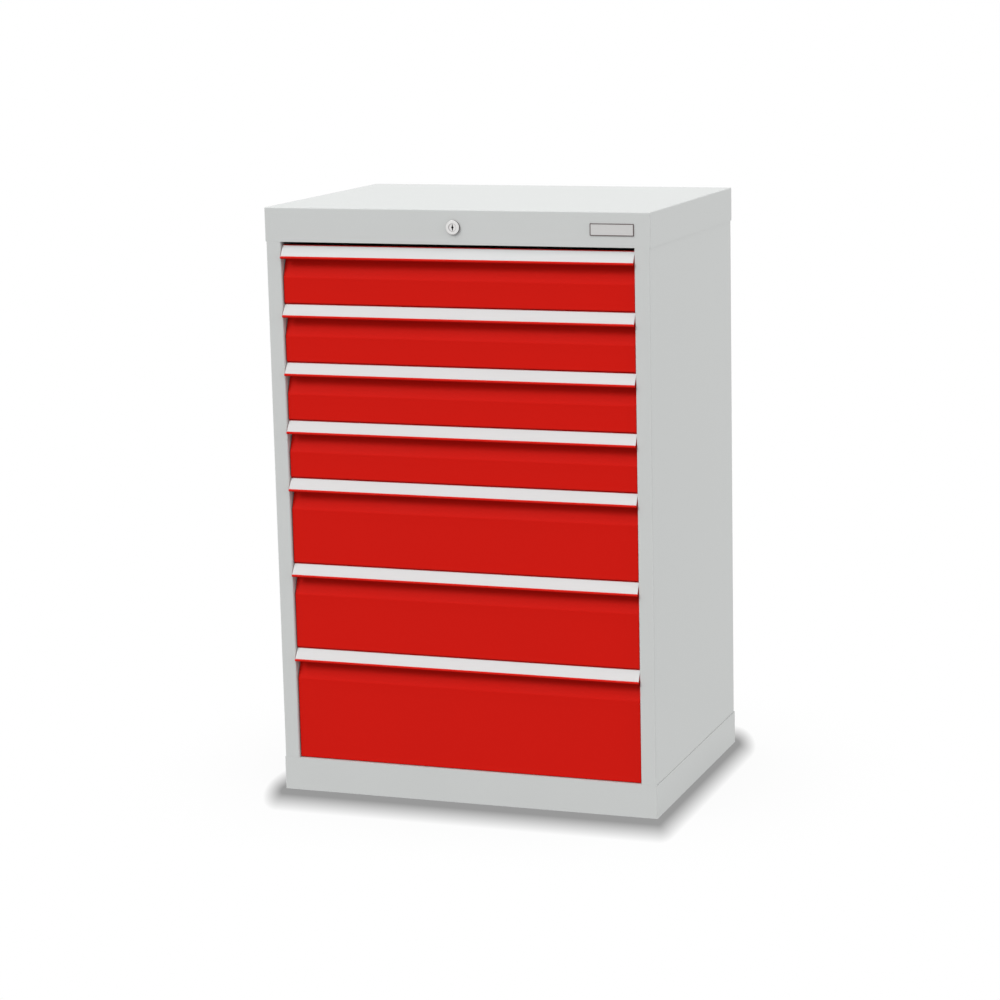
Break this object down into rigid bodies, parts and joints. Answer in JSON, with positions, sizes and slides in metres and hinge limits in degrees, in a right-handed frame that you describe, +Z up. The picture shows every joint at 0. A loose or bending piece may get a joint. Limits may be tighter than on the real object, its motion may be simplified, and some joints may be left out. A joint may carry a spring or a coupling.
{
  "type": "drawer cabinet",
  "caption": "Tall sheet-steel cabinet with stacked full-width drawers on telescopic runners, sloping handle rails with label strips, a central key lock and a plinth.",
  "frame": {"origin": "on the floor, at the middle of the box that the closed cabinet fills", "axes": "+X to the right as seen from the drawers, +Y to the back, +Z up"},
  "size_m": [0.682, 0.497, 1.019],
  "materials": {
    "housing_paint": "smooth semi-matte light grey powder coat",
    "front_paint": "smooth semi-matte red powder coat",
    "tray_paint": "semi-matte light grey powder coat",
    "label_strip": "plain light grey insert, no print",
    "upright_steel": "semi-matte light grey powder coat",
    "runner_steel": "bright zinc plating",
    "lock_chrome": "satin nickel plating",
    "lock_steel": "zinc-plated strip",
    "plate_metal": "bare satin plate with a raised border"
  },
  "bodies": {
    "cabinet": {"left_side_panel": "housing_paint", "right_side_panel": "housing_paint", "back_panel": "housing_paint", "floor_panel": "housing_paint", "top_hood": "housing_paint", "base_plinth": "housing_paint", "left_uprights": "upright_steel", "right_uprights": "upright_steel", "left_fixed_runners": "runner_steel", "right_fixed_runners": "runner_steel", "lock_housing": "lock_chrome", "lock_nut": "lock_steel", "lock_guides": "lock_steel", "name_plate": "plate_metal"},
    "key_plug": {"lock_plug": "lock_chrome", "lock_cam": "lock_steel"},
    "cross_slider": {"lock_slider": "lock_steel"},
    "hook_bar": {"lock_bar": "lock_steel"},
    "drawer_1": {"drawer_1_front": "front_paint", "drawer_1_handle": "front_paint", "drawer_1_label_strip": "label_strip", "drawer_1_tray": "tray_paint", "drawer_1_inner_rails": "runner_steel"},
    "runner_middles_1": {"drawer_1_mid_rails": "runner_steel"},
    "drawer_2": {"drawer_2_front": "front_paint", "drawer_2_handle": "front_paint", "drawer_2_label_strip": "label_strip", "drawer_2_tray": "tray_paint", "drawer_2_inner_rails": "runner_steel"},
    "runner_middles_2": {"drawer_2_mid_rails": "runner_steel"},
    "drawer_3": {"drawer_3_front": "front_paint", "drawer_3_handle": "front_paint", "drawer_3_label_strip": "label_strip", "drawer_3_tray": "tray_paint", "drawer_3_inner_rails": "runner_steel"},
    "runner_middles_3": {"drawer_3_mid_rails": "runner_steel"},
    "drawer_4": {"drawer_4_front": "front_paint", "drawer_4_handle": "front_paint", "drawer_4_label_strip": "label_strip", "drawer_4_tray": "tray_paint", "drawer_4_inner_rails": "runner_steel"},
    "runner_middles_4": {"drawer_4_mid_rails": "runner_steel"},
    "drawer_5": {"drawer_5_front": "front_paint", "drawer_5_handle": "front_paint", "drawer_5_label_strip": "label_strip", "drawer_5_tray": "tray_paint", "drawer_5_inner_rails": "runner_steel"},
    "runner_middles_5": {"drawer_5_mid_rails": "runner_steel"},
    "drawer_6": {"drawer_6_front": "front_paint", "drawer_6_handle": "front_paint", "drawer_6_label_strip": "label_strip", "drawer_6_tray": "tray_paint", "drawer_6_inner_rails": "runner_steel"},
    "runner_middles_6": {"drawer_6_mid_rails": "runner_steel"},
    "drawer_7": {"drawer_7_front": "front_paint", "drawer_7_handle": "front_paint", "drawer_7_label_strip": "label_strip", "drawer_7_tray": "tray_paint", "drawer_7_inner_rails": "runner_steel"},
    "runner_middles_7": {"drawer_7_mid_rails": "runner_steel"}
  },
  "joints": [
    {"name": "lock_turn", "type": "hinge", "parent": "cabinet", "child": "key_plug", "pos_m": [0, -0.2415, 0.99], "axis": [0, -1, 0], "range_deg": [0, 90]},
    {"name": "slider_shift", "type": "slide", "parent": "cabinet", "child": "cross_slider", "axis": [1, 0, 0], "range_m": [0, 0.0112]},
    {"name": "bar_rise", "type": "slide", "parent": "cabinet", "child": "hook_bar", "axis": [0, 0, 1], "range_m": [0, 0.0091]},
    {"name": "drawer_1_slide", "type": "slide", "parent": "cabinet", "child": "drawer_1", "axis": [0, -1, 0], "range_m": [0, 0.4]},
    {"name": "runner_1_slide", "type": "slide", "parent": "cabinet", "child": "runner_middles_1", "axis": [0, -1, 0], "range_m": [0, 0.2]},
    {"name": "drawer_2_slide", "type": "slide", "parent": "cabinet", "child": "drawer_2", "axis": [0, -1, 0], "range_m": [0, 0.4]},
    {"name": "runner_2_slide", "type": "slide", "parent": "cabinet", "child": "runner_middles_2", "axis": [0, -1, 0], "range_m": [0, 0.2]},
    {"name": "drawer_3_slide", "type": "slide", "parent": "cabinet", "child": "drawer_3", "axis": [0, -1, 0], "range_m": [0, 0.4]},
    {"name": "runner_3_slide", "type": "slide", "parent": "cabinet", "child": "runner_middles_3", "axis": [0, -1, 0], "range_m": [0, 0.2]},
    {"name": "drawer_4_slide", "type": "slide", "parent": "cabinet", "child": "drawer_4", "axis": [0, -1, 0], "range_m": [0, 0.4]},
    {"name": "runner_4_slide", "type": "slide", "parent": "cabinet", "child": "runner_middles_4", "axis": [0, -1, 0], "range_m": [0, 0.2]},
    {"name": "drawer_5_slide", "type": "slide", "parent": "cabinet", "child": "drawer_5", "axis": [0, -1, 0], "range_m": [0, 0.4]},
    {"name": "runner_5_slide", "type": "slide", "parent": "cabinet", "child": "runner_middles_5", "axis": [0, -1, 0], "range_m": [0, 0.2]},
    {"name": "drawer_6_slide", "type": "slide", "parent": "cabinet", "child": "drawer_6", "axis": [0, -1, 0], "range_m": [0, 0.4]},
    {"name": "runner_6_slide", "type": "slide", "parent": "cabinet", "child": "runner_middles_6", "axis": [0, -1, 0], "range_m": [0, 0.2]},
    {"name": "drawer_7_slide", "type": "slide", "parent": "cabinet", "child": "drawer_7", "axis": [0, -1, 0], "range_m": [0, 0.4]},
    {"name": "runner_7_slide", "type": "slide", "parent": "cabinet", "child": "runner_middles_7", "axis": [0, -1, 0], "range_m": [0, 0.2]}
  ],
  "couplings": [
    {"joint": "lock_turn", "follows": "slider_shift", "rad_per_m": 138.84},
    {"joint": "bar_rise", "follows": "slider_shift", "ratio": 0.7955},
    {"joint": "runner_1_slide", "follows": "drawer_1_slide", "ratio": 0.5},
    {"joint": "runner_2_slide", "follows": "drawer_2_slide", "ratio": 0.5},
    {"joint": "runner_3_slide", "follows": "drawer_3_slide", "ratio": 0.5},
    {"joint": "runner_4_slide", "follows": "drawer_4_slide", "ratio": 0.5},
    {"joint": "runner_5_slide", "follows": "drawer_5_slide", "ratio": 0.5},
    {"joint": "runner_6_slide", "follows": "drawer_6_slide", "ratio": 0.5},
    {"joint": "runner_7_slide", "follows": "drawer_7_slide", "ratio": 0.5}
  ]
}
